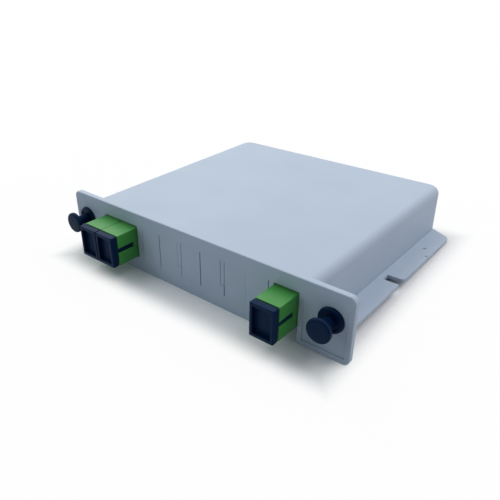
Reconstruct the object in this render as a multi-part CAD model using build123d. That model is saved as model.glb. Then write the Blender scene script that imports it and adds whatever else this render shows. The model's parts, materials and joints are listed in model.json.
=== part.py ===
from build123d import *
from math import cos, radians, sin
import os

# Plug-in splitter cassette: a thin moulded box behind a wide front panel. One input and two output
# adapters sit in the panel, each closed by a dust cap, and six blanking plates fill the rest of
# the window. Every length is in millimetres. While it is modelled, x = 0 is the middle of the
# panel, y = 0 its front face and z = 0 its bottom edge, and +y points into the chassis.

# Front panel
panel_width = 130.0
panel_height = 24.6
panel_thickness = 2.1
panel_top_radius = 2.4
panel_foot_radius = 2.2
panel_edge_radius = 0.4
inner_foot_radius = 1.8
dish_side_margin = 1.8
dish_bottom = 2.1
dish_top_margin = 4.6
dish_depth = 0.4

# Box behind the panel
body_depth = 99.7
body_height = 18.3
body_side_share = 0.66
wall = 1.8
draft_angle = 1.0
rear_corner_radius = 5.7
top_edge_radius = 3.0
base_thickness = 1.3

# Adapter window, in places of one pitch
place_count = 9
place_pitch = 10.2
window_drop = 0.7
window_rise = 13.0
seam_gap = 0.16
seam_chamfer = 0.12
mullion = 1.0
seam_step = 0.85
seam_step_rise = 3.4
score_width = 0.2
score_depth = 0.12

# Adapters
adapter_width = 9.25
adapter_height = 12.5
adapter_length = 27.4
adapter_reach = 9.9
adapter_edge_radius = 0.3
adapter_margin = 0.1
pair_gap = 0.05
window_clearance = 0.05
port_width = 7.5
port_height = 9.1
partition_thickness = 1.6
partition_hole_width = 5.2
partition_hole_height = 6.4
key_slot_height = 1.8
key_slot_length = 7.2
tongue_thickness = 1.6
tongue_rise = 14.5
tongue_play = 0.1
rib_thickness = 1.2
rib_clearance = 0.1

# Sleeve holders inside the adapters
holder_base = 1.1
holder_tube_radius = 2.35
holder_tube_length = 7.0
holder_lip_radius = 1.38
holder_lip = 0.6
hook_arm_width = 2.6
hook_arm_thickness = 0.7
hook_arm_offset = 3.6
hook_arm_reach = 8.6
hook_barb = 0.5
hook_barb_length = 0.8
sleeve_outer_radius = 1.6
sleeve_inner_radius = 1.25
sleeve_length = 11.4
sleeve_slit = 0.4
running_clearance = 0.05

# Dust caps
cap_front = 12.9
cap_gap = 0.35
cap_width = 9.1
cap_height = 12.4
cap_rim_side = 1.1
cap_rim_end = 1.25
cap_recess = 1.7
cap_floor = 1.0
cap_plug_length = 6.3
cap_plug_wall = 0.9
cap_key_height = 1.5
plug_clearance = 0.1

# Panel latches
latch_inset = 7.25
latch_rise = 8.1
latch_hole_radius = 3.2
grommet_neck_radius = 3.15
grommet_leg_radius = 3.4
grommet_flange_radius = 4.45
grommet_flange = 1.0
grommet_leg_length = 2.75
grommet_nose = 1.5
grommet_slit = 0.6
grommet_lip = 0.5
grommet_edge = 0.3
plunger_rod_radius = 1.9
plunger_bead_radius = 2.5
plunger_bead_length = 1.0
plunger_travel = 5.1
plunger_stop_gap = 0.1
knob_radius = 4.15
knob_thickness = 1.6
knob_edge = 0.35

# Side rails on the base
rail_width = 8.4
rail_setback = 4.2
rail_rear_slant = 4.5
rail_corner_radius = 3.5
rail_slot_y = 46.2
rail_slot_width = 3.9
rail_slot_margin = 2.3
rail_slot_radius = 1.5
rail_front_gap = 0.05
rail_dimples = ((3.9, 19.5), (0.95, 25.4))
rail_dimple_radius = 0.6
rail_dimple_depth = 0.25
lip_height = 1.4
lip_thickness = 1.0
lip_clearance = 0.15

# Base screws and their bosses
boss_radius = 3.2
boss_front = (22.0, 12.0)
boss_rear_inset = (9.0, 9.7)
boss_hole_depth = 9.0
screw_radius = 1.0
screw_length = 8.0
screw_head_radius = 2.1
screw_head = 1.1
screw_clearance = 0.2
screw_recess_length = 2.4
screw_recess_width = 0.6
screw_recess_depth = 0.6

# Connectors in the rear ports
grip_wall = 0.7
grip_start = 4.2
grip_end = 24.0
grip_window = 6.0
grip_groove = 0.3
grip_groove_count = 3
grip_groove_pitch = 2.0
grip_groove_width = 1.0
plug_body_start = 2.2
plug_body_end = 19.0
plug_body_width = 5.7
plug_body_height = 6.9
plug_bore_radius = 2.6
plug_bore_end = 7.6
neck_end = 22.0
crimp_radius = 2.3
ferrule_radius = 1.22
ferrule_start = 0.05
ferrule_flange_radius = 1.9
ferrule_end = 10.5
boot_radius = 2.9
boot_tip_radius = 1.3
boot_end = 38.0

# Splitter chip and its leads
chip_length = 40.0
chip_side = 4.0
chip_setback = 14.7
chip_edge_radius = 0.4
chip_boot_length = 5.0
chip_boot_radius = 1.9
chip_boot_tip_radius = 1.2
fibre_radius = 0.45
fibre_bore_clearance = 0.05
output_spread = 0.65
cradle_ear = 1.2
cradle_length = 6.0
cradle_spacing = 24.0
cradle_rise = 0.6
guide_thickness = 1.2
guide_gap = 0.35
guide_rise = 1.5
guide_spans = {"out_1": (132, 44), "out_2": (95, 80), "in": (5, 80)}

# Places worked out from the sizes above
floor_z = panel_height - body_height
base_z = floor_z - base_thickness
ceiling_z = panel_height - wall
axis_z = floor_z + adapter_height / 2
window_bottom = floor_z - window_drop
window_top = floor_z + window_rise
window_half = place_count * place_pitch / 2
adapter_outer = window_half + adapter_margin
slot_outer = adapter_outer + window_clearance
slot_inner = adapter_outer - adapter_width - window_clearance
pair_pitch = adapter_width + pair_gap
adapter_xs = [
    -adapter_outer + adapter_width / 2,
    -adapter_outer + adapter_width / 2 + pair_pitch,
    adapter_outer - adapter_width / 2,
]
pair_slot_inner = adapter_xs[1] + adapter_width / 2 + window_clearance
adapter_mid_y = adapter_length / 2 - adapter_reach
latch_x = panel_width / 2 - latch_inset
latch_z = floor_z + latch_rise
leg_start = panel_thickness + running_clearance
leg_end = leg_start + grommet_leg_length
nose_end = leg_end + grommet_nose
latch_room = latch_x - grommet_leg_radius - adapter_outer
body_half_width = adapter_outer + body_side_share * latch_room
rail_half_width = body_half_width + rail_width
rail_rear = body_depth - rail_setback
boss_rear = (body_half_width - boss_rear_inset[0], body_depth - boss_rear_inset[1])
chip_y = body_depth - chip_setback
seam_step_z = floor_z + seam_step_rise
tongue_top = floor_z + tongue_rise
seam_xs = [place_pitch * (place - place_count / 2) for place in range(2, place_count)]
frame_shift = -(body_depth - cap_front) / 2
seat = (Align.CENTER, Align.CENTER, Align.MIN)


def slab(x0, x1, y0, y1, z0, z1):
    # Plain block between three pairs of planes.
    middle = ((x0 + x1) / 2, (y0 + y1) / 2, (z0 + z1) / 2)
    return Pos(*middle) * Box(x1 - x0, y1 - y0, z1 - z0)


def centred(width, height, y0, y1):
    # Block centred on x = 0 and z = 0, from y0 to y1.
    return slab(-width / 2, width / 2, y0, y1, -height / 2, height / 2)


def plate(outline, y0, y1):
    # A face drawn in x and z, made solid from y0 to y1.
    return Pos(0, y0, 0) * extrude(Plane.XZ * outline, -(y1 - y0))


def turned(points):
    # Closed profile of (radius, y) points turned about the y axis.
    return revolve(make_face(Polyline(*points, close=True)), Axis.Y, 360)


def bar(radius, y0, y1):
    # Round bar along y.
    return turned([(0, y0), (radius, y0), (radius, y1), (0, y1)])


def both_ways(piece, plane):
    # The piece and its mirror image in a plane.
    return [piece, mirror(piece, plane)]


# Housing: panel, top, walls and screw bosses in one moulding


def body_outline(inset, overrun):
    # Plan of the box with its round rear corners, from a line in front of the panel.
    length = body_depth - inset + overrun
    outline = Rectangle(2 * (body_half_width - inset), length)
    outline = Pos(0, length / 2 - overrun, 0) * outline
    rear = outline.vertices().group_by(Axis.Y)[-1]
    return fillet(rear, rear_corner_radius - inset)


def body_block(inset, top_z):
    # Drafted block with round top edges, cut off square at the back of the panel.
    overrun = top_edge_radius + wall
    block = extrude(body_outline(inset, overrun), top_z - floor_z, taper=draft_angle)
    rim = block.faces().sort_by(Axis.Z)[-1].edges()
    rounded = [edge for edge in rim if edge.center().Y > 0]
    block = Pos(0, 0, floor_z) * fillet(rounded, top_edge_radius - inset)
    return block - slab(-panel_width, panel_width, -2 * overrun, panel_thickness, 0, 2 * panel_height)


def seam_line(place, side):
    # Points down one edge of a place in the window. Every second seam has a step in it.
    x = seam_xs[place]
    if place % 2:
        return [(x + side, window_top), (x + side, window_bottom)]
    upper = x - seam_step + side
    lower = min(x + seam_step, slot_inner - mullion) + side
    step = seam_step_z + side
    return [(upper, window_top), (upper, step), (lower, step), (lower, window_bottom)]


def place_face(first, last, gap):
    # Face between two seams of the window, drawn in by half a gap at each.
    left = seam_line(first, gap / 2)
    right = seam_line(last, -gap / 2)
    return make_face(Polyline(*left, *reversed(right), close=True))


def upright(x0, x1, z0, z1):
    return Pos((x0 + x1) / 2, (z0 + z1) / 2) * Rectangle(x1 - x0, z1 - z0)


def panel_face():
    # Front panel with a foot at each end and one along the middle.
    half = panel_width / 2
    face = upright(-half, half, 0, panel_height)
    for side in both_ways(upright(slot_inner, slot_outer, 0, window_bottom), Plane.YZ):
        face -= side
    face = fillet(face.vertices().group_by(Axis.Y)[-1], panel_top_radius)
    lowest = face.vertices().group_by(Axis.Y)[0].sort_by(Axis.X)
    face = fillet([lowest[0], lowest[-1]], panel_foot_radius)
    lowest = face.vertices().group_by(Axis.Y)[0].sort_by(Axis.X)
    face = fillet(lowest[1:-1], inner_foot_radius)
    face -= upright(-slot_outer, pair_slot_inner, window_bottom, window_top)
    face -= upright(slot_inner, slot_outer, window_bottom, window_top)
    face -= place_face(0, len(seam_xs) - 1, 0)
    for side in (-1, 1):
        face -= Pos(side * latch_x, latch_z) * Circle(latch_hole_radius)
    return face


def latch_dish():
    # Shallow ramp in the face of the foot, deepest at its lower edge.
    top = panel_height - dish_top_margin
    ramp = Polyline((0, top), (0, dish_bottom), (dish_depth, dish_bottom), close=True)
    width = panel_width / 2 - slot_outer - 2 * dish_side_margin
    return Pos(slot_outer + dish_side_margin, 0, 0) * extrude(Plane.YZ * make_face(ramp), width)


def boss_places():
    return [(side * x, y) for x, y in (boss_front, boss_rear) for side in (-1, 1)]


def housing_cover():
    front = plate(panel_face(), 0, panel_thickness)
    rim = front.faces().sort_by(Axis.Y)[0].outer_wire().edges()
    front = fillet([edge for edge in rim if edge.center().Z > window_top], panel_edge_radius)
    for dish in both_ways(latch_dish(), Plane.YZ):
        front -= dish
    cover = front + (body_block(0, panel_height) - body_block(wall, ceiling_z))
    rib_y = panel_thickness + tongue_thickness + tongue_play
    rib_half = slot_outer + mullion
    rib_bottom = window_top + rib_clearance
    cover += slab(-rib_half, rib_half, rib_y, rib_y + rib_thickness, rib_bottom, ceiling_z + wall / 2)
    for x, y in boss_places():
        boss = Cylinder(boss_radius, ceiling_z + wall / 2 - floor_z, align=seat)
        cover += Pos(x, y, floor_z) * boss
    for x, y in boss_places():
        cover -= Pos(x, y, floor_z) * Cylinder(screw_radius + running_clearance, boss_hole_depth, align=seat)
    return cover


def blank_plate(place):
    # Flush plate with a broad tongue behind it that stands in the slot under the top.
    front = plate(place_face(place, place + 1, seam_gap), 0, panel_thickness)
    face = front.faces().sort_by(Axis.Y)[0]
    front = chamfer(face.edges().filter_by(Axis.Z), seam_chamfer)
    left = seam_xs[place] + seam_step + seam_gap
    right = seam_xs[place + 1] - seam_step - seam_gap
    rear = panel_thickness + tongue_thickness
    front += slab(left, right, panel_thickness, rear, floor_z, tongue_top)
    if place % 2 == 0:
        score = seam_xs[place] + seam_step
        front -= slab(score, score + score_width, 0, score_depth, seam_step_z, window_top)
    return front


# Base plate with the side rails and everything that holds the glass inside


def rail_outline():
    front = panel_thickness + rail_front_gap
    corner = rail_rear - rail_rear_slant
    points = [
        (-rail_half_width, front),
        (rail_half_width, front),
        (rail_half_width, corner),
        (body_half_width, rail_rear),
        (-body_half_width, rail_rear),
        (-rail_half_width, corner),
    ]
    outline = make_face(Polyline(*points, close=True))
    outer = outline.vertices().filter_by(lambda vertex: abs(vertex.Y - corner) < rail_front_gap)
    return fillet(outer, rail_corner_radius)


def bend_guide(centre, radius, start, span):
    # Upright wall round the inside of a bend in a lead, over a span of degrees.
    outer = radius - fibre_radius - guide_gap
    inner = outer - guide_thickness
    ring = Circle(outer) - Circle(inner)
    far = 2 * outer
    ends = [(far * cos(radians(angle)), far * sin(radians(angle))) for angle in (start, start + span)]
    middle = radians(start + span / 2)
    tip = (2 * far * cos(middle), 2 * far * sin(middle))
    sector = make_face(Polyline((0, 0), ends[0], tip, ends[1], close=True))
    height = axis_z + guide_rise - floor_z
    return Pos(*centre, floor_z) * extrude(ring & sector, height)


def chip_cradle(x):
    # Saddle under the splitter chip with an ear at each side.
    half = chip_side / 2
    x0 = x - cradle_length / 2
    x1 = x + cradle_length / 2
    top = axis_z - half
    ear_top = axis_z + half + cradle_rise
    saddle = slab(x0, x1, chip_y - half - cradle_ear, chip_y + half + cradle_ear, floor_z, top)
    for side in (-1, 1):
        y = sorted((chip_y + side * half, chip_y + side * (half + cradle_ear)))
        saddle += slab(x0, x1, *y, top, ear_top)
    return saddle


def rail_slot():
    # Notch in the outer edge, with a round corner where the rear part of the rail starts.
    half = rail_slot_width / 2
    start = body_half_width + rail_slot_margin
    end = rail_half_width
    rear = rail_slot_y + half
    corner = Pos(end, rear) * Rectangle(2 * rail_slot_radius, 2 * rail_slot_radius)
    corner -= Pos(end - rail_slot_radius, rear + rail_slot_radius) * Circle(rail_slot_radius)
    notch = Pos((start + end) / 2, rail_slot_y) * Rectangle(end - start, rail_slot_width)
    return extrude(notch + corner, 2 * floor_z)


def base_plate():
    front = panel_thickness + rail_front_gap
    trim = Pos(0, front - body_depth) * Rectangle(2 * panel_width, 2 * body_depth)
    outline = rail_outline() + (body_outline(0, 0) - trim)
    base = extrude(Pos(0, 0, base_z) * outline, base_thickness)
    gap = wall + lip_clearance
    lip = body_outline(gap, 0) - body_outline(gap + lip_thickness, lip_thickness)
    lip = extrude(Pos(0, 0, floor_z) * lip, lip_height)
    lip_start = panel_thickness + tongue_thickness + tongue_play + rib_thickness
    base += lip - slab(-panel_width, panel_width, -lip_start, lip_start, 0, panel_height)
    for x in (chip_x - cradle_spacing / 2, chip_x + cradle_spacing / 2):
        base += chip_cradle(x)
    for name, (start, span) in guide_spans.items():
        base += bend_guide(lead_centre(name), lead_radius(name), start, span)
    for slot in both_ways(rail_slot(), Plane.YZ):
        base -= slot
    for inset, setback in rail_dimples:
        dimple = Cylinder(rail_dimple_radius, 2 * rail_dimple_depth)
        place = Pos(rail_half_width - inset, rail_rear - setback, floor_z)
        for cut in both_ways(place * dimple, Plane.YZ):
            base -= cut
    hole_radius = screw_radius + screw_clearance
    sink = Cone(screw_head_radius + screw_clearance, hole_radius, screw_head, align=seat)
    for x, y in boss_places():
        base -= Pos(x, y, base_z) * (sink + Cylinder(hole_radius, 2 * base_thickness, align=seat))
    return base


def base_screws():
    # Countersunk screws driven from below, as one group.
    head = Cone(screw_head_radius, screw_radius, screw_head, align=seat)
    screw = head + Cylinder(screw_radius, screw_length, align=seat)
    for turn in (0, 90):
        screw -= Rot(0, 0, turn) * Box(screw_recess_length, screw_recess_width, 2 * screw_recess_depth)
    return Compound([Pos(x, y, base_z) * screw for x, y in boss_places()])


# Panel latches, each a grommet in the foot and a plunger that is drawn out of it


def latch_grommet():
    bore = plunger_rod_radius + running_clearance
    chamber = plunger_bead_radius + plunger_stop_gap
    lip_end = grommet_lip - grommet_flange
    chamber_end = lip_end + 2 * plunger_stop_gap + plunger_bead_length + plunger_travel
    grommet = turned([
        (bore, -grommet_flange),
        (grommet_flange_radius - 2 * grommet_edge, -grommet_flange),
        (grommet_flange_radius, -grommet_flange + grommet_edge),
        (grommet_flange_radius, 0),
        (grommet_neck_radius, 0),
        (grommet_neck_radius, leg_start),
        (grommet_leg_radius, leg_start),
        (grommet_leg_radius, leg_end),
        (chamber, nose_end),
        (bore, nose_end),
        (bore, chamber_end),
        (chamber, chamber_end),
        (chamber, lip_end),
        (bore, lip_end),
    ])
    reach = 2 * grommet_flange_radius
    slit = centred(grommet_slit, reach, leg_start + grommet_slit / 2, nose_end + grommet_slit)
    for turn in (-45, 45):
        grommet -= Rot(0, turn, 0) * slit
    return grommet


def latch_plunger():
    # Drawn right out, with its bead behind the lip of the grommet.
    knob_rear = -grommet_flange - plunger_travel - plunger_stop_gap
    knob_front = knob_rear - knob_thickness
    bead = grommet_lip - grommet_flange + plunger_stop_gap
    return turned([
        (0, knob_front),
        (knob_radius - knob_edge, knob_front),
        (knob_radius, knob_front + knob_edge),
        (knob_radius, knob_rear - knob_edge),
        (knob_radius - knob_edge, knob_rear),
        (plunger_rod_radius, knob_rear),
        (plunger_rod_radius, bead),
        (plunger_bead_radius, bead),
        (plunger_bead_radius, bead + plunger_bead_length / 2),
        (plunger_rod_radius, bead + plunger_bead_length),
        (plunger_rod_radius, nose_end - knob_edge),
        (plunger_rod_radius - knob_edge, nose_end),
        (0, nose_end),
    ])


# Adapter pieces, drawn about the middle of the adapter with the rear port at +y


def adapter_shell():
    half = adapter_length / 2
    shell = centred(adapter_width, adapter_height, -half, half)
    shell = fillet(shell.edges().filter_by(Axis.Y), adapter_edge_radius)
    tongue_y = panel_thickness - adapter_mid_y
    tongue_z = adapter_height / 2 - adapter_edge_radius
    half_width = adapter_width / 2
    tongue_end = tongue_y + tongue_thickness
    shell += slab(-half_width, half_width, tongue_y, tongue_end, tongue_z, tongue_top - axis_z)
    port = centred(port_width, port_height, partition_thickness / 2, half)
    key = half - key_slot_length
    port += slab(0, adapter_width, key, half, -key_slot_height / 2, key_slot_height / 2)
    for cut in both_ways(port, Plane.XZ):
        shell -= cut
    return shell - centred(partition_hole_width, partition_hole_height, -half, half)


def sleeve_holder():
    # Rear half of the holder: a plate on the partition, a tube for the sleeve and two hooks.
    half = partition_thickness / 2
    play = running_clearance
    holder = centred(port_width - 2 * play, port_height - 2 * play, half, half + holder_base)
    holder += bar(holder_tube_radius, play / 2, holder_tube_length)
    for side in (-1, 1):
        z = sorted((side * hook_arm_offset, side * (hook_arm_offset + hook_arm_thickness)))
        holder += slab(-hook_arm_width / 2, hook_arm_width / 2, half, hook_arm_reach, *z)
        z = sorted((side * hook_arm_offset, side * (hook_arm_offset - hook_barb)))
        tip = hook_arm_reach - hook_barb_length
        holder += slab(-hook_arm_width / 2, hook_arm_width / 2, tip, hook_arm_reach, *z)
    holder -= bar(sleeve_outer_radius + play, 0, holder_tube_length - holder_lip)
    return holder - bar(holder_lip_radius, 0, holder_tube_length)


def split_sleeve():
    half = sleeve_length / 2
    sleeve = bar(sleeve_outer_radius, -half, half) - bar(sleeve_inner_radius, -half, half)
    return sleeve - slab(-sleeve_slit / 2, sleeve_slit / 2, -half, half, 0, sleeve_outer_radius)


def dust_cap():
    # Drawn from the front face of the adapter's mid plane, with its plug in the front port.
    front = -cap_front - adapter_mid_y
    back = -adapter_length / 2 - cap_gap
    plug_end = back + cap_plug_length
    cap = centred(cap_width, cap_height, front, back)
    cap = fillet(cap.edges(), adapter_edge_radius)
    plug_width = port_width - 2 * plug_clearance
    plug_height = port_height - 2 * plug_clearance
    cap += centred(plug_width, plug_height, back - cap_floor / 2, plug_end)
    key_x = adapter_width / 2 - plug_clearance - adapter_edge_radius
    cap += slab(0, key_x, back - cap_floor / 2, plug_end, -cap_key_height / 2, cap_key_height / 2)
    recess = front + cap_recess
    cap -= centred(cap_width - 2 * cap_rim_side, cap_height - 2 * cap_rim_end, front, recess)
    hollow_width = plug_width - 2 * cap_plug_wall
    cap -= centred(hollow_width, plug_height - 2 * cap_plug_wall, recess + cap_floor, plug_end)
    hook_room = hook_arm_width + 4 * plug_clearance
    return cap - centred(hook_room, port_height, -hook_arm_reach - 4 * plug_clearance, plug_end)


# Connector pieces in the rear ports, drawn about the same middle


def connector_grip():
    width = port_width - 2 * plug_clearance
    height = port_height - 2 * plug_clearance
    grip = centred(width, height, grip_start, grip_end)
    key_x = adapter_width / 2 - plug_clearance
    key_start = adapter_length / 2 - key_slot_length + plug_clearance
    grip += slab(0, key_x, key_start, adapter_length / 2, -cap_key_height / 2, cap_key_height / 2)
    grip -= centred(width - 2 * grip_wall, height - 2 * grip_wall, grip_start, grip_end)
    window = hook_arm_width + 4 * plug_clearance
    grip -= centred(window, height, grip_start, grip_start + grip_window)
    for groove in range(grip_groove_count):
        y = grip_end - grip_groove_pitch * (groove + 1)
        for side in (-1, 1):
            z = sorted((side * height / 2, side * (height / 2 - grip_groove)))
            grip -= slab(-width, width, y, y + grip_groove_width, *z)
    return grip


def connector_body():
    body = centred(plug_body_width, plug_body_height, plug_body_start, plug_body_end)
    body += bar(crimp_radius, plug_body_end, neck_end)
    body -= bar(plug_bore_radius, plug_body_start, plug_bore_end)
    body -= bar(ferrule_flange_radius + running_clearance, plug_bore_end, ferrule_end)
    body -= bar(fibre_radius + fibre_bore_clearance, ferrule_end, neck_end)
    barb_start = hook_arm_reach - hook_barb_length - 2 * plug_clearance
    barb_end = hook_arm_reach + 2 * plug_clearance
    width = hook_arm_width + 4 * plug_clearance
    inner = hook_arm_offset - hook_barb - 2 * plug_clearance
    for side in (-1, 1):
        z = sorted((side * inner, side * plug_body_height))
        body -= slab(-width / 2, width / 2, barb_start, barb_end, *z)
    return body


def connector_ferrule():
    flange = bar(ferrule_flange_radius, plug_bore_end, ferrule_end)
    return bar(ferrule_radius, ferrule_start, ferrule_end) + flange


def connector_boot():
    bore = fibre_radius + fibre_bore_clearance
    sleeve = crimp_radius + running_clearance
    start = plug_body_end + running_clearance
    return turned([
        (sleeve, start),
        (boot_radius, start),
        (boot_radius, grip_end),
        (boot_tip_radius, boot_end),
        (bore, boot_end),
        (bore, neck_end + running_clearance),
        (sleeve, neck_end + running_clearance),
    ])


# Splitter chip and the three leads, all in one plane


lead_ends = {
    "out_1": (adapter_xs[0], output_spread),
    "out_2": (adapter_xs[1], -output_spread),
    "in": (adapter_xs[2], 0),
}
chip_x = (adapter_xs[1] + adapter_xs[2]) / 2
chip_reach = chip_length / 2 + chip_boot_length


def lead_radius(name):
    # A quarter turn that takes all the room between the adapter's axis and the chip's boot.
    x, _ = lead_ends[name]
    return abs(x - chip_x) - chip_reach


def lead_centre(name):
    x, spread = lead_ends[name]
    side = 1 if x > chip_x else -1
    return (chip_x + side * chip_reach, chip_y + spread - lead_radius(name))


def lead(name):
    x, spread = lead_ends[name]
    side = 1 if x > chip_x else -1
    y = chip_y + spread
    start = (x, adapter_mid_y + ferrule_end, axis_z)
    end = (chip_x + side * chip_length / 2, y, axis_z)
    path = FilletPolyline(start, (x, y, axis_z), end, radius=lead_radius(name))
    return sweep(Plane(origin=path @ 0, z_dir=path % 0) * Circle(fibre_radius), path=path)


def chip_case():
    case = Box(chip_length, chip_side, chip_side)
    case = fillet(case.edges().filter_by(Axis.X), chip_edge_radius)
    return Pos(chip_x, chip_y, axis_z) * case


def chip_boot(names):
    # Tapered seal on the end of the chip with a bore for each lead.
    x, _ = lead_ends[names[0]]
    side = 1 if x > chip_x else -1
    place = Pos(chip_x + side * chip_length / 2, chip_y, axis_z) * Rot(0, side * 90, 0)
    boot = place * Cone(chip_boot_radius, chip_boot_tip_radius, chip_boot_length, align=seat)
    for name in names:
        _, spread = lead_ends[name]
        bore = Cylinder(fibre_radius + fibre_bore_clearance, chip_boot_length, align=seat)
        boot -= Pos(0, spread, 0) * place * bore
    return boot


def write(name, piece):
    # Each piece goes out on the middle of the whole object.
    export_step(Pos(0, frame_shift, 0) * piece, f"parts/{name}.step")


os.makedirs("parts", exist_ok=True)

write("housing_cover", housing_cover())
write("base_plate", base_plate())
write("base_screws", base_screws())
for place in range(len(seam_xs) - 1):
    write(f"blank_plate_{place + 1}", blank_plate(place))

for side, x in (("left", -latch_x), ("right", latch_x)):
    write(f"latch_grommet_{side}", Pos(x, 0, latch_z) * latch_grommet())
    write(f"latch_plunger_{side}", Pos(x, 0, latch_z) * latch_plunger())

adapter_pieces = {
    "adapter_shell": adapter_shell(),
    "sleeve_holder_rear": sleeve_holder(),
    "sleeve_holder_front": mirror(sleeve_holder(), Plane.XZ),
    "split_sleeve": split_sleeve(),
    "dust_cap": dust_cap(),
    "connector_grip": connector_grip(),
    "connector_body": connector_body(),
    "connector_ferrule": connector_ferrule(),
    "connector_boot": connector_boot(),
}
for number, x in enumerate(adapter_xs, 1):
    for name, piece in adapter_pieces.items():
        write(f"{name}_{number}", Pos(x, adapter_mid_y, axis_z) * piece)

write("chip_case", chip_case())
write("chip_boot_out", chip_boot(["out_1", "out_2"]))
write("chip_boot_in", chip_boot(["in"]))
for name in lead_ends:
    write(f"fibre_{name}", lead(name))
    print(f"bend radius of fibre_{name}: {lead_radius(name):.1f}")
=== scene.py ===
import bpy
import bmesh
import json
import math
from mathutils import Matrix, Vector


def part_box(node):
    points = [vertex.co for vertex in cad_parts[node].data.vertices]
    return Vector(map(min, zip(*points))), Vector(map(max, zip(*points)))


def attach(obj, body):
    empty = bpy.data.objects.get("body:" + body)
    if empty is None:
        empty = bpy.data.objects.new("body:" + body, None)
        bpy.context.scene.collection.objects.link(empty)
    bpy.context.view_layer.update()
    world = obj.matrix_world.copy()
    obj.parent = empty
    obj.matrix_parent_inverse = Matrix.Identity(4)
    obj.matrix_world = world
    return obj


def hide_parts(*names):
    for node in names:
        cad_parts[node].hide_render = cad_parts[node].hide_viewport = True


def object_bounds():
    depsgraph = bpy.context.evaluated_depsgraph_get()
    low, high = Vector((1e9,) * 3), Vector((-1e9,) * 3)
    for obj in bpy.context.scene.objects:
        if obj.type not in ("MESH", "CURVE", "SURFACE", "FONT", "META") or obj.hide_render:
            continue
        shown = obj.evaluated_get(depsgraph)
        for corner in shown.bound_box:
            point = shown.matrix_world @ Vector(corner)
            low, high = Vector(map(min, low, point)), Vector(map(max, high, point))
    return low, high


# Plug-in splitter cassette. All places below are millimetres from the middle of the object,
# the same as in the CAD, and become metres when a mesh is finished.

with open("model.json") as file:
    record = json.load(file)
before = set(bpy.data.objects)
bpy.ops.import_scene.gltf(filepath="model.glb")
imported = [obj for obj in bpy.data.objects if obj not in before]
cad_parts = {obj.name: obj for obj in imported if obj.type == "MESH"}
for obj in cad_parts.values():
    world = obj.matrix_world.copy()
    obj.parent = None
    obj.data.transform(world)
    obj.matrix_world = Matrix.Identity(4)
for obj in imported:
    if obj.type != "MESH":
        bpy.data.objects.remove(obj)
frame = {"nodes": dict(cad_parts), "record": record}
nodes = frame["nodes"]
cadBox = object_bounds()
print("frame loaded:", len(nodes), "nodes")

mm = 0.001
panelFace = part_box("housing_cover")[0].y / mm   # y of the front face of the panel


# Camera, placed where the photograph was taken from

camera = {
    "place": (119.963, panelFace - 122.374, 110.354),
    "right": (0.75480, 0.65574, -0.01674),
    "up": (-0.31235, 0.38175, 0.86988),
    "back": (0.57681, -0.65136, 0.49297),
    "focalPixels": 548.382,
    "axisPixel": (213.809, 261.725),
    "picture": 500,
}


def addCamera():
    data = bpy.data.cameras.new("camera")
    data.sensor_width = 36
    data.lens = camera["focalPixels"] / camera["picture"] * data.sensor_width
    data.shift_x = (camera["picture"] / 2 - camera["axisPixel"][0]) / camera["picture"]
    data.shift_y = (camera["axisPixel"][1] - camera["picture"] / 2) / camera["picture"]
    data.clip_start = 0.01
    lens = bpy.data.objects.new("camera", data)
    turn = Matrix((camera["right"], camera["up"], camera["back"])).transposed()
    lens.matrix_world = Matrix.Translation(Vector(camera["place"]) * mm) @ turn.to_4x4()
    bpy.context.scene.collection.objects.link(lens)
    bpy.context.scene.camera = lens


addCamera()
print("camera set")


# Node groups shared by the materials

def newGroup(name, inputs, outputs):
    group = bpy.data.node_groups.new(name, "ShaderNodeTree")
    for label, kind, value in inputs:
        socket = group.interface.new_socket(label, in_out="INPUT", socket_type=kind)
        socket.default_value = value
    for label, kind in outputs:
        group.interface.new_socket(label, in_out="OUTPUT", socket_type=kind)
    return group


def addNode(tree, kind, **settings):
    node = tree.nodes.new(kind)
    for key, value in settings.items():
        setattr(node, key, value)
    return node


def mathNode(tree, operation, first, second):
    node = addNode(tree, "ShaderNodeMath", operation=operation)
    for socket, value in zip(node.inputs, (first, second)):
        if isinstance(value, (int, float)):
            socket.default_value = value
        else:
            tree.links.new(value, socket)
    return node.outputs[0]


mouldSkin = {
    "grain": 9000.0, "drift": 60.0, "fineDetail": 3.0, "fineRoughness": 0.6, "slowDetail": 2.0,
    "pitScale": 0.6, "pitDepth": 0.5,
}
softEdge = {"maskGain": 6.0, "radius": 0.22, "grooveReach": 0.5, "samples": 8}


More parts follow.
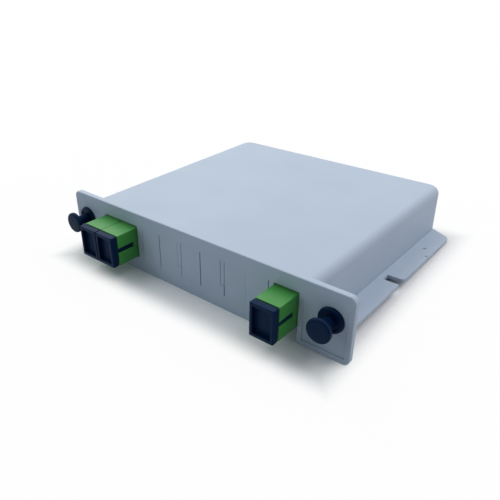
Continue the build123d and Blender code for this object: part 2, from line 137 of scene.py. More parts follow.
def buildGrainGroup():
    # Spark-eroded mould skin: a height of fine grain and pits, and a slow drift as a soft mask
    group = newGroup("mouldGrain", [
        ("Grain", "NodeSocketFloat", mouldSkin["grain"]),
        ("Drift", "NodeSocketFloat", mouldSkin["drift"]),
    ], [
        ("Height", "NodeSocketFloat"),
        ("Drift", "NodeSocketFloat"),
    ])
    coords = addNode(group, "ShaderNodeTexCoord")
    given = addNode(group, "NodeGroupInput")
    result = addNode(group, "NodeGroupOutput")
    fine = addNode(group, "ShaderNodeTexNoise", noise_dimensions="3D")
    fine.inputs["Detail"].default_value = mouldSkin["fineDetail"]
    fine.inputs["Roughness"].default_value = mouldSkin["fineRoughness"]
    slow = addNode(group, "ShaderNodeTexNoise", noise_dimensions="3D")
    slow.inputs["Detail"].default_value = mouldSkin["slowDetail"]
    pits = addNode(group, "ShaderNodeTexVoronoi", feature="F1")
    group.links.new(coords.outputs["Object"], fine.inputs["Vector"])
    group.links.new(coords.outputs["Object"], slow.inputs["Vector"])
    group.links.new(coords.outputs["Object"], pits.inputs["Vector"])
    group.links.new(given.outputs["Grain"], fine.inputs["Scale"])
    group.links.new(given.outputs["Drift"], slow.inputs["Scale"])
    pitScale = mathNode(group, "MULTIPLY", given.outputs["Grain"], mouldSkin["pitScale"])
    group.links.new(pitScale, pits.inputs["Scale"])
    pitHeight = mathNode(group, "MULTIPLY", pits.outputs["Distance"], mouldSkin["pitDepth"])
    height = mathNode(group, "ADD", fine.outputs[0], pitHeight)
    group.links.new(height, result.inputs["Height"])
    group.links.new(slow.outputs[0], result.inputs["Drift"])
    return group


def buildEdgeGroup():
    # Rounded normal along hard edges, a mask of those edges for the painted highlight, and an
    # ambient-occlusion mask of grooves and inner corners for painted shade
    group = newGroup("softEdge", [
        ("Mask Gain", "NodeSocketFloat", softEdge["maskGain"]),
    ], [
        ("Normal", "NodeSocketVector"),
        ("Edge", "NodeSocketFloat"),
        ("Groove", "NodeSocketFloat"),
    ])
    given = addNode(group, "NodeGroupInput")
    result = addNode(group, "NodeGroupOutput")
    bevel = addNode(group, "ShaderNodeBevel", samples=softEdge["samples"])
    bevel.inputs["Radius"].default_value = softEdge["radius"] * mm
    plain = addNode(group, "ShaderNodeNewGeometry")
    dot = addNode(group, "ShaderNodeVectorMath", operation="DOT_PRODUCT")
    group.links.new(bevel.outputs["Normal"], dot.inputs[0])
    group.links.new(plain.outputs["Normal"], dot.inputs[1])
    turned = mathNode(group, "SUBTRACT", 1.0, dot.outputs["Value"])
    gained = addNode(group, "ShaderNodeMath", operation="MULTIPLY", use_clamp=True)
    group.links.new(turned, gained.inputs[0])
    group.links.new(given.outputs["Mask Gain"], gained.inputs[1])
    group.links.new(bevel.outputs["Normal"], result.inputs["Normal"])
    group.links.new(gained.outputs[0], result.inputs["Edge"])
    # ambient occlusion over a short reach, the mask for the painted shade
    hollow = addNode(group, "ShaderNodeAmbientOcclusion", samples=softEdge["samples"])
    hollow.inputs["Distance"].default_value = softEdge["grooveReach"] * mm
    group.links.new(mathNode(group, "SUBTRACT", 1.0, hollow.outputs["AO"]), result.inputs["Groove"])
    return group


grainGroup = buildGrainGroup()
edgeGroup = buildEdgeGroup()


def toLinear(colour):
    # sRGB 0-255 to linear
    steps = [channel / 255 for channel in colour]
    linear = [s / 12.92 if s <= 0.04045 else ((s + 0.055) / 1.055) ** 2.4 for s in steps]
    return (*linear, 1.0)


# What a finish has where it names nothing else
usual = {
    "reflection": (1.0, 1.0, 1.0), "metal": 0.0, "edgeHighlight": 0.4, "paintedShade": 0.8, "paintedShadeTint": (0.3, 0.33, 0.38),
    "handling": 0.16, "bumpDepth": 0.05,
}
# Each finish's edge colour is a painted highlight, mixed in along edges by the edge mask at the strength
# given with it
# The darkening strength and tint, usual or given per finish, are painted shade for grooves, seams and inner
# corners
finishes = {
    "grey_plastic": {
        "colour": (189, 202, 219), "shade": (183, 196, 214), "edge": (203, 214, 228),
        "roughness": 0.55, "specular": 0.3, "grain": 9000, "drift": 45, "bump": 0.05,
        "edgeHighlight": 0.15, "paintedShade": 0.65,
    },
    "green_plastic": {
        "colour": (58, 141, 57), "shade": (50, 131, 51), "edge": (88, 162, 78),
        "roughness": 0.46, "specular": 0.45, "grain": 7000, "drift": 120, "bump": 0.04,
    },
    "black_cap": {
        "colour": (6, 31, 65), "shade": (5, 25, 56), "edge": (54, 74, 100),
        "roughness": 0.5, "specular": 0.11, "grain": 6000, "drift": 150, "bump": 0.05,
        "reflection": (0.4, 0.8, 1.0), "paintedShade": 1.0,
    },
    "black_nylon": {
        "colour": (4, 28, 62), "shade": (3, 22, 52), "edge": (50, 68, 92),
        "roughness": 0.46, "specular": 0.1, "grain": 5000, "drift": 180, "bump": 0.05,
        "reflection": (0.4, 0.8, 1.0),
    },
    "white_plastic": {
        "colour": (226, 228, 224), "shade": (218, 221, 218), "edge": (236, 238, 236),
        "roughness": 0.45, "specular": 0.4, "grain": 9000, "drift": 150, "bump": 0.03,
    },
    "zirconia": {
        "colour": (236, 234, 226), "shade": (230, 228, 219), "edge": (242, 241, 236),
        "roughness": 0.14, "specular": 0.75, "grain": 30000, "drift": 300, "bump": 0.01,
    },
    "boot_rubber": {
        "colour": (88, 146, 62), "shade": (78, 134, 54), "edge": (110, 166, 82),
        "roughness": 0.68, "specular": 0.22, "grain": 5000, "drift": 150, "bump": 0.08,
    },
    "chip_steel": {
        "colour": (186, 188, 190), "shade": (176, 178, 181), "edge": (214, 216, 218),
        "roughness": 0.28, "specular": 0.5, "grain": 12000, "drift": 200, "bump": 0.03, "metal": 1.0,
    },
    "screw_steel": {
        "colour": (172, 174, 176), "shade": (160, 162, 165), "edge": (206, 208, 210),
        "roughness": 0.3, "specular": 0.5, "grain": 10000, "drift": 300, "bump": 0.04, "metal": 1.0,
    },
    "fibre_jacket": {
        "colour": (232, 232, 226), "shade": (222, 223, 217), "edge": (238, 238, 234),
        "roughness": 0.4, "specular": 0.4, "grain": 8000, "drift": 200, "bump": 0.03,
    },
}


def buildMaterial(slot, finish):
    material = bpy.data.materials.new(slot)
    material.use_nodes = True
    tree = material.node_tree
    tree.nodes.clear()
    shader = addNode(tree, "ShaderNodeBsdfPrincipled")
    output = addNode(tree, "ShaderNodeOutputMaterial")
    tree.links.new(shader.outputs[0], output.inputs["Surface"])
    shader.inputs["Specular IOR Level"].default_value = finish["specular"]
    shader.inputs["Specular Tint"].default_value = (*finish["reflection"], 1.0)
    shader.inputs["Metallic"].default_value = finish["metal"]
    grain = addNode(tree, "ShaderNodeGroup", node_tree=grainGroup)
    grain.inputs["Grain"].default_value = finish["grain"]
    grain.inputs["Drift"].default_value = finish["drift"]
    edge = addNode(tree, "ShaderNodeGroup", node_tree=edgeGroup)
    # colour: base drifting at random to a slightly deeper shade, and paler along edges as a painted highlight
    drifted = addNode(tree, "ShaderNodeMix", data_type="RGBA")
    drifted.inputs[6].default_value = toLinear(finish["colour"])
    drifted.inputs[7].default_value = toLinear(finish["shade"])
    tree.links.new(grain.outputs["Drift"], drifted.inputs[0])
    highlighted = addNode(tree, "ShaderNodeMix", data_type="RGBA")
    highlighted.inputs[7].default_value = toLinear(finish["edge"])
    tree.links.new(mathNode(tree, "MULTIPLY", edge.outputs["Edge"], finish["edgeHighlight"]), highlighted.inputs[0])
    tree.links.new(drifted.outputs[2], highlighted.inputs[6])
    # painted shade: an ambient-occlusion mask darkens grooves, seams and inner corners
    shadeDarkened = addNode(tree, "ShaderNodeMix", data_type="RGBA", blend_type="MULTIPLY")
    shadeDarkened.inputs[7].default_value = (*finish["paintedShadeTint"], 1.0)
    tree.links.new(mathNode(tree, "MULTIPLY", edge.outputs["Groove"], finish["paintedShade"]), shadeDarkened.inputs[0])
    tree.links.new(highlighted.outputs[2], shadeDarkened.inputs[6])
    tree.links.new(shadeDarkened.outputs[2], shader.inputs["Base Color"])
    # roughness drifts with handling
    centred = mathNode(tree, "SUBTRACT", grain.outputs["Drift"], 0.5)
    spread = mathNode(tree, "MULTIPLY", centred, finish["handling"])
    tree.links.new(mathNode(tree, "ADD", spread, finish["roughness"]), shader.inputs["Roughness"])
    bump = addNode(tree, "ShaderNodeBump")
    bump.inputs["Strength"].default_value = finish["bump"]
    bump.inputs["Distance"].default_value = finish["bumpDepth"] * mm
    tree.links.new(grain.outputs["Height"], bump.inputs["Height"])
    tree.links.new(edge.outputs["Normal"], bump.inputs["Normal"])
    tree.links.new(bump.outputs["Normal"], shader.inputs["Normal"])
    return material


materials = {slot: buildMaterial(slot, {**usual, **finish}) for slot, finish in finishes.items()}
nodeSlots = {entry["node"]: entry["material_slot"] for entry in frame["record"]["subparts"]}
print("materials built:", len(materials), "for", len(nodeSlots), "nodes")

for name, node in nodes.items():
    node.data.materials.clear()
    node.data.materials.append(materials[nodeSlots[name]])


# Tools for the new pieces. Their places are millimetres with y = 0 on the panel's front face.

tools = {
    "near": 0.001, "merge": 0.0005, "onAxis": 0.0001, "facing": 0.99, "firstInset": 0.05,
    "sharpAngle": 32, "past": 1.0, "across": 6.0,
}


def newBlock(low, high):
    shape = bmesh.new()
    bmesh.ops.create_cube(shape, size=1.0)
    bmesh.ops.scale(shape, vec=Vector(high) - Vector(low), verts=shape.verts)
    bmesh.ops.translate(shape, vec=(Vector(high) + Vector(low)) / 2, verts=shape.verts)
    return shape


def addBlock(shape, low, high):
    # another closed block in the same mesh
    cube = bmesh.ops.create_cube(shape, size=1.0)["verts"]
    bmesh.ops.scale(shape, vec=Vector(high) - Vector(low), verts=cube)
    bmesh.ops.translate(shape, vec=(Vector(high) + Vector(low)) / 2, verts=cube)
    return cube


def roundOff(shape, edges, radius, segments=3):
    bmesh.ops.bevel(shape, geom=list(edges), offset=radius, segments=segments, profile=0.5,
                    affect="EDGES", material=-1, clamp_overlap=True)


def endFace(shape, sign):
    # the widest face that looks along -y or +y
    shape.normal_update()
    facing = [face for face in shape.faces if face.normal.y * sign > tools["facing"]]
    edge = max(face.calc_center_median().y * sign for face in facing)
    outermost = [face for face in facing if face.calc_center_median().y * sign > edge - tools["near"]]
    return max(outermost, key=lambda face: face.calc_area())


def stepIn(shape, face, width, height):
    # the same face drawn in to a smaller rectangle
    corners = [vert.co.copy() for vert in face.verts]
    wide = max(corner.x for corner in corners) - min(corner.x for corner in corners)
    high = max(corner.z for corner in corners) - min(corner.z for corner in corners)
    centre = face.calc_center_median()
    bmesh.ops.inset_region(shape, faces=[face], thickness=tools["firstInset"], use_even_offset=True)
    taken = 2 * tools["firstInset"]
    bmesh.ops.scale(shape, verts=face.verts, vec=(width / (wide - taken), 1, height / (high - taken)),
                    space=Matrix.Translation(-centre))
    return face


def pushFace(shape, face, distance):
    pushed = bmesh.ops.extrude_discrete_faces(shape, faces=[face])["faces"][0]
    bmesh.ops.translate(shape, vec=(0, distance, 0), verts=pushed.verts)
    return pushed


def turnedShape(points, radii, steps):
    # A closed profile of (radius, y), its corners rounded by the given radii, spun about y
    shape = bmesh.new()
    corners = [shape.verts.new((radius, y, 0)) for radius, y in points]
    shape.faces.new(corners)
    for number, radius in radii.items():
        bmesh.ops.bevel(shape, geom=[corners[number]], offset=radius, segments=4, profile=0.5,
                        affect="VERTICES", material=-1)
    bmesh.ops.delete(shape, geom=list(shape.faces), context="FACES_ONLY")
    onAxis = [edge for edge in shape.edges if all(vert.co.x < tools["onAxis"] for vert in edge.verts)]
    bmesh.ops.delete(shape, geom=onAxis, context="EDGES")
    outline = list(shape.verts) + list(shape.edges)
    bmesh.ops.spin(shape, geom=outline, cent=(0, 0, 0), axis=(0, 1, 0), dvec=(0, 0, 0),
                   angle=2 * math.pi, steps=steps, use_merge=True)
    bmesh.ops.remove_doubles(shape, verts=shape.verts, dist=tools["merge"])
    bmesh.ops.recalc_face_normals(shape, faces=shape.faces)
    return shape


def newObject(name, shape):
    mesh = bpy.data.meshes.new(name)
    shape.to_mesh(mesh)
    shape.free()
    piece = bpy.data.objects.new(name, mesh)
    bpy.context.scene.collection.objects.link(piece)
    return piece


def cutAway(piece, cutters):
    # exact cuts, one by one, left in the mesh
    for cutter in cutters:
        tool = newObject("cutter", cutter)
        cut = piece.modifiers.new("cut", "BOOLEAN")
        cut.operation = "DIFFERENCE"
        cut.solver = "EXACT"
        cut.object = tool
        settle(piece)
        bpy.data.objects.remove(tool, do_unlink=True)


def settle(piece):
    # the shape as its modifiers leave it becomes its mesh
    bpy.context.view_layer.update()
    seen = piece.evaluated_get(bpy.context.evaluated_depsgraph_get())
    settled = bpy.data.meshes.new_from_object(seen)
    piece.modifiers.clear()
    old = piece.data
    piece.data = settled
    bpy.data.meshes.remove(old)


def softenPiece(piece, width, segments, limit):
    bevel = piece.modifiers.new("soft edges", "BEVEL")
    bevel.width = width
    bevel.segments = segments
    bevel.limit_method = "ANGLE"
    bevel.angle_limit = math.radians(limit)
    bevel.use_clamp_overlap = True
    bevel.miter_outer = "MITER_ARC"
    settle(piece)


def placeCopies(source, places, names, bodyNames, slot, replaced):
    # one object for each place, with the place in its mesh and metres throughout
    for place, name, body, node in zip(places, names, bodyNames, replaced):
        mesh = source.data.copy()
        shift = Vector(place) + Vector((0, panelFace, 0))
        mesh.transform(Matrix.Scale(mm, 4) @ Matrix.Translation(shift))
        for polygon in mesh.polygons:
            polygon.use_smooth = True
        mesh.set_sharp_from_angle(angle=math.radians(tools["sharpAngle"]))
        mesh.name = name
        piece = bpy.data.objects.new(name, mesh)
        bpy.context.scene.collection.objects.link(piece)
        even = piece.modifiers.new("even faces", "WEIGHTED_NORMAL")
        even.keep_sharp = True
        settle(piece)
        piece.data.name = name
        piece.data.materials.clear()
        piece.data.materials.append(materials[slot])
        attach(piece, body)
        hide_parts(node)
    bpy.data.objects.remove(source, do_unlink=True)


# Dust caps: a hollow plug with a framed front, one in each port

dustCap = {
    "width": 9.1, "height": 12.4, "front": -12.9, "back": -10.25,
    "rimSide": 1.1, "rimEnd": 1.25, "recess": 1.7, "cornerRadius": 0.3,
    "plugWidth": 7.3, "plugHeight": 8.9, "plugEnd": -3.95, "plugWall": 0.9, "hollowStart": -10.2,
    "keyReach": 4.225, "keyHeight": 1.5, "keyEnd": -2.5, "notchWidth": 3.0, "notchStart": -5.2,
    "frameSoftness": 0.16, "keySoftness": 0.12, "keySink": 0.1, "keyBack": 0.2, "findMargin": 0.01,
}
portNames = ["out_1", "out_2", "in"]
portPlaces = []
for number in (1, 2, 3):
    low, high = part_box(f"dust_cap_{number}")
    portPlaces.append(((low.x + high.x) / 2 / mm, 0, (low.z + high.z) / 2 / mm))


def buildDustCap():
    cap = dustCap
    half = (cap["width"] / 2, cap["height"] / 2)
    shape = newBlock((-half[0], cap["front"], -half[1]), (half[0], cap["back"], half[1]))
    roundOff(shape, shape.edges, cap["cornerRadius"])
    opening = (cap["width"] - 2 * cap["rimSide"], cap["height"] - 2 * cap["rimEnd"])
    front = stepIn(shape, endFace(shape, -1), *opening)
    recess = pushFace(shape, front, cap["recess"])
    # soft frame round the recess and a soft corner where its floor meets its walls
    walls = {edge for vert in recess.verts for edge in vert.link_edges} - set(recess.edges)
    reach = (half[0] - cap["rimSide"] + cap["findMargin"], half[1] - cap["rimEnd"] + cap["findMargin"])
    outer = [vert for wall in walls for vert in wall.verts if vert not in recess.verts]
    rim = {edge for vert in outer for edge in vert.link_edges
           if all(v.co.y < cap["front"] + tools["near"] for v in edge.verts)
           and all(abs(v.co.x) < reach[0] and abs(v.co.z) < reach[1] for v in edge.verts)}
    roundOff(shape, walls | rim | set(recess.edges), cap["frameSoftness"], 2)
    back = stepIn(shape, endFace(shape, 1), cap["plugWidth"], cap["plugHeight"])
    plug = pushFace(shape, back, cap["plugEnd"] - cap["back"])
    hollow = (cap["plugWidth"] - 2 * cap["plugWall"], cap["plugHeight"] - 2 * cap["plugWall"])
    mouth = stepIn(shape, plug, *hollow)
    pushFace(shape, mouth, cap["hollowStart"] - cap["plugEnd"])
    bmesh.ops.recalc_face_normals(shape, faces=shape.faces)
    piece = newObject("dustCap", shape)
    notch = newBlock((-cap["notchWidth"] / 2, cap["notchStart"], -tools["across"]),
                     (cap["notchWidth"] / 2, cap["plugEnd"] + tools["past"], tools["across"]))
    cutAway(piece, [notch])
    shape = bmesh.new()
    shape.from_mesh(piece.data)
    keySide = cap["plugWidth"] / 2 - cap["keySink"]
    key = addBlock(shape, (keySide, cap["back"] - cap["keyBack"], -cap["keyHeight"] / 2),
                   (cap["keyReach"], cap["keyEnd"], cap["keyHeight"] / 2))
    roundOff(shape, {edge for vert in key for edge in vert.link_edges}, cap["keySoftness"], 2)
    shape.to_mesh(piece.data)
    shape.free()
    return piece


placeCopies(buildDustCap(), portPlaces, [f"dustCap_{name}" for name in portNames],
            [f"cap_{name}" for name in portNames], "black_cap", [f"dust_cap_{n}" for n in (1, 2, 3)])
print("dust caps built")


# Adapters: a square tube with a wall across its middle and a tongue that stands behind the panel

adapter = {
    "width": 9.25, "height": 12.5, "front": -9.9, "rear": 17.5, "edgeRadius": 0.3,
    "portWidth": 7.5, "portHeight": 9.1, "wall": 1.6, "holeWidth": 5.2, "holeHeight": 6.4,
    "slotHeight": 2.0, "slotLength": 7.6, "tongueFront": 2.1, "tongueRear": 3.7, "tongueTop": 8.25,
    "lead": 0.35, "groove": 0.22, "grooveFront": -0.42, "grooveRear": 0.25, "slotInside": 2.0,
    "softness": 0.09, "softLimit": 40, "tongueSink": 0.3, "tongueSoftness": 0.15,
}


def buildAdapter():
    tube = adapter
    half = (tube["width"] / 2, tube["height"] / 2)
    shape = newBlock((-half[0], tube["front"], -half[1]), (half[0], tube["grooveFront"], half[1]))
    along = [edge for edge in shape.edges if abs(edge.verts[0].co.y - edge.verts[1].co.y) > 1]
    roundOff(shape, along, tube["edgeRadius"])
    # a shallow groove round it at the panel's face, then the long rear part
    neck = (tube["width"] - 2 * tube["groove"], tube["height"] - 2 * tube["groove"])
    narrow = stepIn(shape, endFace(shape, 1), *neck)
    narrow = pushFace(shape, narrow, tube["grooveRear"] - tube["grooveFront"])
    wide = pushFace(shape, narrow, 0)
    bmesh.ops.scale(shape, verts=wide.verts, vec=(tube["width"] / neck[0], 1, tube["height"] / neck[1]))
    pushFace(shape, wide, tube["rear"] - tube["grooveRear"])
    middle = (tube["front"] + tube["rear"]) / 2
    flare = (tube["portWidth"] + tube["lead"], tube["portHeight"] + tube["lead"])
    holes = []
    for sign, end in ((-1, tube["front"]), (1, tube["rear"])):
        mouth = endFace(shape, sign)
        # a chamfered lead-in at the mouth of the port, then the port down to the wall
        stepIn(shape, mouth, *flare)
        lead = pushFace(shape, mouth, -sign * tube["lead"] / 2)
        bmesh.ops.scale(shape, verts=lead.verts,
                        vec=(tube["portWidth"] / flare[0], 1, tube["portHeight"] / flare[1]))
        depth = middle + sign * tube["wall"] / 2 - (end - sign * tube["lead"] / 2)
        floor = pushFace(shape, lead, depth)
        holes.append(stepIn(shape, floor, tube["holeWidth"], tube["holeHeight"]))
    loops = [edge for hole in holes for edge in hole.edges]
    bmesh.ops.delete(shape, geom=holes, context="FACES_ONLY")
    bmesh.ops.bridge_loops(shape, edges=loops)
    bmesh.ops.recalc_face_normals(shape, faces=shape.faces)
    piece = newObject("adapter", shape)
    slots = []
    for start, end in ((tube["front"] - tools["past"], tube["front"] + tube["slotLength"]),
                       (tube["rear"] - tube["slotLength"], tube["rear"] + tools["past"])):
        slot = newBlock((tube["slotInside"], start, -tube["slotHeight"] / 2),
                        (half[0] + tools["past"], end, tube["slotHeight"] / 2))
        slots.append(slot)
    cutAway(piece, slots)
    softenPiece(piece, tube["softness"], 2, tube["softLimit"])
    shape = bmesh.new()
    shape.from_mesh(piece.data)
    tongue = addBlock(shape, (-half[0], tube["tongueFront"], half[1] - tube["tongueSink"]),
                      (half[0], tube["tongueRear"], tube["tongueTop"]))
    roundOff(shape, {edge for vert in tongue for edge in vert.link_edges}, tube["tongueSoftness"], 2)
    shape.to_mesh(piece.data)
    shape.free()
    return piece


placeCopies(buildAdapter(), portPlaces, [f"adapter_{name}" for name in portNames],
            ["housing"] * 3, "green_plastic", [f"adapter_shell_{n}" for n in (1, 2, 3)])
print("adapters built")


# Blanking plates: six flush plates in the window, with a straight or a stepped seam between them

blankPlates = {
    "pitch": 10.2, "firstSeam": -25.5, "bottom": 5.6, "top": 19.3, "thickness": 2.1,
    "step": 0.85, "stepHeight": 9.7, "lastLower": 35.7,
    "tongueRear": 3.7, "tongueBottom": 6.3, "tongueTop": 20.8, "tongueGap": 0.16,
    "gaps": (0.12, 0.24, 0.08, 0.28, 0.16, 0.03, 0.5),
    "lowerGaps": (0.16, 0.24, 0.16, 0.28, 0.32, 0.03, 0.3),
    "softness": 0.5, "scoreWidth": 0.2, "scoreDepth": 0.14, "sideReach": 2.0,
}


def seamPoints(number, side):
    # down one edge of a seam, from the top of the window to its bottom
    plates = blankPlates
    x = plates["firstSeam"] + plates["pitch"] * number
    away = side * plates["gaps"][number] / 2
    if number % 2:
        return [(x + away, plates["top"]), (x + away, plates["bottom"])]
    upper = x - plates["step"] + away
    lower = min(x + plates["step"], plates["lastLower"]) + side * plates["lowerGaps"][number] / 2
    height = plates["stepHeight"] + away
    return [(upper, plates["top"]), (upper, height), (lower, height), (lower, plates["bottom"])]


def buildBlankPlate(number):
    plates = blankPlates
    middle = plates["firstSeam"] + plates["pitch"] * (number + 0.5)
    outline = seamPoints(number, 1) + seamPoints(number + 1, -1)[::-1]
    shape = bmesh.new()
    face = shape.faces.new([shape.verts.new((x, 0, z)) for x, z in outline])
    solid = bmesh.ops.extrude_face_region(shape, geom=[face])["geom"]
    rear = [part for part in solid if isinstance(part, bmesh.types.BMVert)]
    bmesh.ops.translate(shape, vec=(0, plates["thickness"], 0), verts=rear)
    bmesh.ops.recalc_face_normals(shape, faces=shape.faces)
    for seam, side in ((number, -1), (number + 1, 1)):
        # only the edges at this seam, on the front face
        edges = [edge for edge in shape.edges
                 if all(abs(vert.co.y) < tools["near"]
                        and (vert.co.x - middle) * side > plates["sideReach"] for vert in edge.verts)]
        roundOff(shape, edges, plates["softness"] * plates["gaps"][seam], 2)
    left = plates["firstSeam"] + plates["pitch"] * number + plates["step"] + plates["tongueGap"]
    right = plates["firstSeam"] + plates["pitch"] * (number + 1) - plates["step"] - plates["tongueGap"]
    addBlock(shape, (left, plates["thickness"], plates["tongueBottom"]),
             (right, plates["tongueRear"], plates["tongueTop"]))
    piece = newObject("blankPlate", shape)
    if number % 2 == 0:
        score = plates["firstSeam"] + plates["pitch"] * number + plates["step"]
        cutAway(piece, [newBlock((score, -tools["past"], plates["stepHeight"]),
                                 (score + plates["scoreWidth"], plates["scoreDepth"], plates["top"]))])
    return piece


for number in range(6):
    placeCopies(buildBlankPlate(number), [(0, 0, 0)], [f"blankPlate_{number + 1}"], ["housing"],
                "grey_plastic", [f"blank_plate_{number + 1}"])
print("blanking plates built")


# Panel latches: a plunger with a round knob, drawn out of a flanged grommet with split legs

plunger = {
    "knobRadius": 4.15, "knobFront": -7.8, "knobRear": -6.2, "crown": 0.12, "knobEdge": 0.42,
    "rodRadius": 1.9, "beadRadius": 2.5, "beadFront": -0.4, "beadRear": 0.6, "rodEnd": 6.4,
    "crownWidth": 1.2, "beadFlat": 0.5, "rearEdge": 0.35, "rootFillet": 0.3, "beadEdge": 0.1, "rodEdge": 0.4,
    "steps": 72,
}
grommet = {
    "bore": 1.95, "dish": 0.34, "rimRadius": 3.35, "rimSlope": 0.3,
    "flangeRadius": 4.45, "flangeFront": -1.0, "flangeBevel": 0.5, "bevelDepth": 0.4, "neckRadius": 3.15,
    "legRadius": 3.4, "legStart": 2.15, "legEnd": 4.9, "noseEnd": 6.4, "chamberRadius": 2.6,
    "chamberStart": -0.5, "chamberEnd": 5.8, "slit": 0.6, "slitStart": 2.45, "slitTurn": 45,
    "cornerRadii": {0: 0.15, 1: 0.12, 2: 0.12, 3: 0.3, 4: 0.25, 8: 0.08, 9: 0.3, 10: 0.2}, "steps": 72,
}
sides = ["left", "right"]
latchPlaces = []
for side in sides:
    low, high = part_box(f"latch_grommet_{side}")
    latchPlaces.append(((low.x + high.x) / 2 / mm, 0, (low.z + high.z) / 2 / mm))


def buildPlunger():
    rod = plunger
    points = [
        (0, rod["knobFront"]),
        (rod["knobRadius"] - rod["crownWidth"], rod["knobFront"]),
        (rod["knobRadius"], rod["knobFront"] + rod["crown"]),
        (rod["knobRadius"], rod["knobRear"]),
        (rod["rodRadius"], rod["knobRear"]),
        (rod["rodRadius"], rod["beadFront"]),
        (rod["beadRadius"], rod["beadFront"]),
        (rod["beadRadius"], rod["beadFront"] + rod["beadFlat"]),
        (rod["rodRadius"], rod["beadRear"]),
        (rod["rodRadius"], rod["rodEnd"]),
        (0, rod["rodEnd"]),
    ]
    radii = {2: rod["knobEdge"], 3: rod["rearEdge"], 4: rod["rootFillet"],
             6: rod["beadEdge"], 9: rod["rodEdge"]}
    return newObject("plunger", turnedShape(points, radii, rod["steps"]))


def buildGrommet():
    barrel = grommet
    edge = barrel["flangeRadius"]
    points = [
        (barrel["bore"], barrel["flangeFront"] + barrel["dish"]),
        (barrel["rimRadius"] - barrel["rimSlope"], barrel["flangeFront"] + barrel["dish"]),
        (barrel["rimRadius"], barrel["flangeFront"]),
        (edge - barrel["flangeBevel"], barrel["flangeFront"]),
        (edge, barrel["flangeFront"] + barrel["bevelDepth"]),
        (edge, 0),
        (barrel["neckRadius"], 0),
        (barrel["neckRadius"], barrel["legStart"]),
        (barrel["legRadius"], barrel["legStart"]),
        (barrel["legRadius"], barrel["legEnd"]),
        (barrel["chamberRadius"], barrel["noseEnd"]),
        (barrel["bore"], barrel["noseEnd"]),
        (barrel["bore"], barrel["chamberEnd"]),
        (barrel["chamberRadius"], barrel["chamberEnd"]),
        (barrel["chamberRadius"], barrel["chamberStart"]),
        (barrel["bore"], barrel["chamberStart"]),
    ]
    piece = newObject("grommet", turnedShape(points, barrel["cornerRadii"], barrel["steps"]))
    slits = []
    for turn in (-barrel["slitTurn"], barrel["slitTurn"]):
        slit = newBlock((-barrel["slit"] / 2, barrel["slitStart"], -tools["across"]),
                        (barrel["slit"] / 2, barrel["noseEnd"] + tools["past"], tools["across"]))
        bmesh.ops.rotate(slit, verts=slit.verts, cent=(0, 0, 0),
                         matrix=Matrix.Rotation(math.radians(turn), 3, "Y"))
        slits.append(slit)
    cutAway(piece, slits)
    return piece


plungerNames = [f"plunger_{side}" for side in sides]
placeCopies(buildPlunger(), latchPlaces, plungerNames,
            plungerNames, "black_nylon", [f"latch_plunger_{side}" for side in sides])
placeCopies(buildGrommet(), latchPlaces, [f"grommet_{side}" for side in sides],
            ["housing"] * 2, "black_nylon", [f"latch_grommet_{side}" for side in sides])
print("latches built")


# Base screws: countersunk heads with a cross recess, and a coarse thread for plastic

screw = {
    "headRadius": 2.1, "headHeight": 1.1, "coreRadius": 0.72, "threadRadius": 0.98, "length": 8.0,
    "pitch": 0.8, "recessLength": 2.4, "recessWidth": 0.6, "recessDepth": 0.6, "bottom": 5.0,
    "headEdge": 0.08, "headRim": 0.1, "headSoftness": 0.05, "shank": 0.4, "ridgeRise": 0.18, "ridgeTop": 0.24,
    "ridgeFoot": 0.42, "pointLength": 0.9, "pointRadius": 0.12, "frontX": 22.0, "frontY": 12.0, "steps": 40,
}


def buildScrew():
    # drawn along y with its head at y = 0, then stood up
    head, core, thread = screw["headRadius"], screw["coreRadius"], screw["threadRadius"]
    points = [(0, 0), (head - screw["headEdge"], 0), (head, screw["headRim"]), (core, screw["headHeight"])]
    y = screw["headHeight"] + screw["shank"]
    while y < screw["length"] - 2 * screw["pitch"]:
        # rolled ridges, each a low V on the core
        points += [(core, y), (thread, y + screw["ridgeRise"]), (thread, y + screw["ridgeTop"]),
                   (core, y + screw["ridgeFoot"])]
        y += screw["pitch"]
    points += [(core, screw["length"] - screw["pointLength"]), (screw["pointRadius"], screw["length"]),
               (0, screw["length"])]
    piece = newObject("screw", turnedShape(points, {1: screw["headSoftness"]}, screw["steps"]))
    long, wide = screw["recessLength"] / 2, screw["recessWidth"] / 2
    above, deep = -tools["past"], screw["recessDepth"]
    cutAway(piece, [newBlock((-long, above, -wide), (long, deep, wide)),
                    newBlock((-wide, above, -long), (wide, deep, long))])
    piece.data.transform(Matrix.Rotation(math.radians(90), 4, "X"))
    return piece


def screwPlaces():
    # the middles of the four heads, the rear pair from the far corner of the node's box
    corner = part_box("base_screws")[1]
    rear = (corner.x / mm - screw["headRadius"], corner.y / mm - screw["headRadius"] - panelFace)
    front = (screw["frontX"], screw["frontY"])
    return [(side * x, y, screw["bottom"]) for x, y in (front, rear) for side in (-1, 1)]


def buildScrews():
    # the four screws are one node in the CAD, and one piece here
    one = buildScrew()
    shape = bmesh.new()
    for place in screwPlaces():
        mesh = one.data.copy()
        mesh.transform(Matrix.Translation(Vector(place)))
        shape.from_mesh(mesh)
        bpy.data.meshes.remove(mesh)
    bpy.data.objects.remove(one, do_unlink=True)
    return newObject("screws", shape)


placeCopies(buildScrews(), [(0, 0, 0)], ["baseScrews"], ["housing"], "screw_steel", ["base_screws"])
print("screws built")


# Floor, lamps and sky

stage = {
    "floorSize": 3.0,
    "tilt": math.atan(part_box("base_plate")[0].z / (cadBox[1][1] - panelFace * mm)),
    "bounce": (0.55, 0.575, 0.60, 1.0),
    "white": (1.0, 1.0, 1.0, 1.0),
    "glow": 0.94, "footprint": (0.058, 0.05), "fade": 0.011, "whiteFrom": 0.04, "whiteAt": 0.25,
    "skyAmbient": (0.115, 0.122, 0.135, 1.0),
}


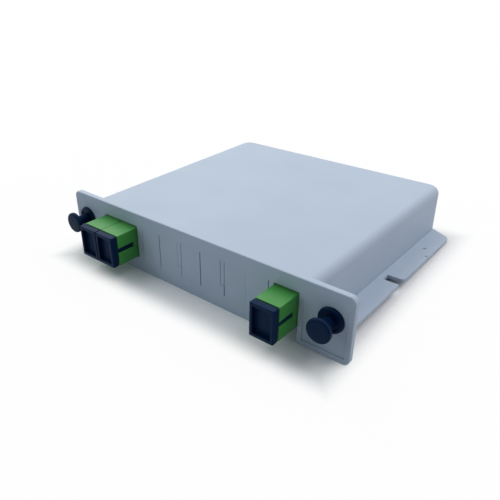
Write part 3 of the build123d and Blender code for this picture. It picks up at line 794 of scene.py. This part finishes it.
def pictureRays(tree):
    # 1 for the camera and for mirror and glass rays, 0 for the light that bounces
    path = addNode(tree, "ShaderNodeLightPath")
    seen = mathNode(tree, "MAXIMUM", path.outputs["Is Camera Ray"], path.outputs["Is Glossy Ray"])
    return mathNode(tree, "MAXIMUM", seen, path.outputs["Is Transmission Ray"])


def addFloor():
    # The object stands on the panel's lower edge and the rear of its base, so the floor leans
    shape = bmesh.new()
    bmesh.ops.create_grid(shape, x_segments=1, y_segments=1, size=stage["floorSize"])
    bmesh.ops.rotate(shape, verts=shape.verts, matrix=Matrix.Rotation(stage["tilt"], 3, "X"))
    bmesh.ops.translate(shape, verts=shape.verts, vec=(0, panelFace * mm, 0))
    mesh = bpy.data.meshes.new("floor")
    shape.to_mesh(mesh)
    shape.free()
    floor = bpy.data.objects.new("floor", mesh)
    bpy.context.scene.collection.objects.link(floor)
    material = bpy.data.materials.new("floorPaper")
    material.use_nodes = True
    tree = material.node_tree
    shader = tree.nodes["Principled BSDF"]
    shader.inputs["Roughness"].default_value = 1.0
    shader.inputs["Specular IOR Level"].default_value = 0.0
    shade = addNode(tree, "ShaderNodeMix", data_type="RGBA")
    shade.inputs[6].default_value = stage["bounce"]
    shade.inputs[7].default_value = stage["white"]
    tree.links.new(pictureRays(tree), shade.inputs[0])
    tree.links.new(shade.outputs[2], shader.inputs["Base Color"])
    # in the picture the paper away from the object is mostly its own light, so the shadow stays close
    coords = addNode(tree, "ShaderNodeTexCoord")
    split = addNode(tree, "ShaderNodeSeparateXYZ")
    tree.links.new(coords.outputs["Object"], split.inputs[0])
    beside = [mathNode(tree, "SUBTRACT", mathNode(tree, "ABSOLUTE", split.outputs[axis], 0.0), reach)
              for axis, reach in enumerate(stage["footprint"])]
    steps = []
    for start, end, share in ((0.0, stage["fade"], stage["glow"]),
                              (stage["whiteFrom"], stage["whiteAt"], 1.0 - stage["glow"])):
        away = addNode(tree, "ShaderNodeMapRange", interpolation_type="SMOOTHSTEP")
        away.inputs["From Min"].default_value = start
        away.inputs["From Max"].default_value = end
        away.inputs["To Max"].default_value = share
        tree.links.new(mathNode(tree, "MAXIMUM", *beside), away.inputs["Value"])
        steps.append(away.outputs["Result"])
    glow = addNode(tree, "ShaderNodeEmission")
    blend = addNode(tree, "ShaderNodeMixShader")
    shine = mathNode(tree, "ADD", *steps)
    tree.links.new(mathNode(tree, "MULTIPLY", pictureRays(tree), shine), blend.inputs[0])
    tree.links.new(shader.outputs[0], blend.inputs[1])
    tree.links.new(glow.outputs[0], blend.inputs[2])
    # nothing from below, so that the underside can be looked at
    clear = addNode(tree, "ShaderNodeBsdfTransparent")
    facing = addNode(tree, "ShaderNodeNewGeometry")
    oneSided = addNode(tree, "ShaderNodeMixShader")
    tree.links.new(facing.outputs["Backfacing"], oneSided.inputs[0])
    tree.links.new(blend.outputs[0], oneSided.inputs[1])
    tree.links.new(clear.outputs[0], oneSided.inputs[2])
    tree.links.new(oneSided.outputs[0], tree.nodes["Material Output"].inputs["Surface"])
    floor.data.materials.append(material)


def addSky():
    world = bpy.data.worlds.new("studio")
    bpy.context.scene.world = world
    world.use_nodes = True
    tree = world.node_tree
    background = tree.nodes["Background"]
    shade = addNode(tree, "ShaderNodeMix", data_type="RGBA")
    shade.inputs[6].default_value = stage["skyAmbient"]
    shade.inputs[7].default_value = stage["white"]
    tree.links.new(pictureRays(tree), shade.inputs[0])
    tree.links.new(shade.outputs[2], background.inputs["Color"])


lamps = {
    "keySoftbox": {
        "towards": (-0.62, 0.22, 0.75), "distance": 0.9, "size": 0.9,
        "watts": 5.0, "tint": (1.0, 0.99, 0.97),
    },
    "rearSoftbox": {
        "towards": (0.47, 0.4, 0.79), "distance": 0.9, "size": 0.8,
        "watts": 4.6, "tint": (0.98, 0.99, 1.0),
    },
    "frontFill": {
        "towards": (-0.5, -0.72, 0.5), "distance": 1.2, "size": 0.9,
        "watts": 2.35, "tint": (0.79, 0.96, 1.0),
    },
}


def addLamp(name, lamp):
    data = bpy.data.lights.new(name, "AREA")
    data.size = lamp["size"]
    data.energy = lamp["watts"]
    data.color = lamp["tint"]
    bulb = bpy.data.objects.new(name, data)
    towards = Vector(lamp["towards"]).normalized()
    turn = towards.to_track_quat("Z", "Y").to_matrix().to_4x4()
    bulb.matrix_world = Matrix.Translation(towards * lamp["distance"]) @ turn
    bpy.context.scene.collection.objects.link(bulb)


addFloor()
addSky()
for name, lamp in lamps.items():
    addLamp(name, lamp)
bpy.context.scene.view_settings.view_transform = "Standard"
print("stage lit")
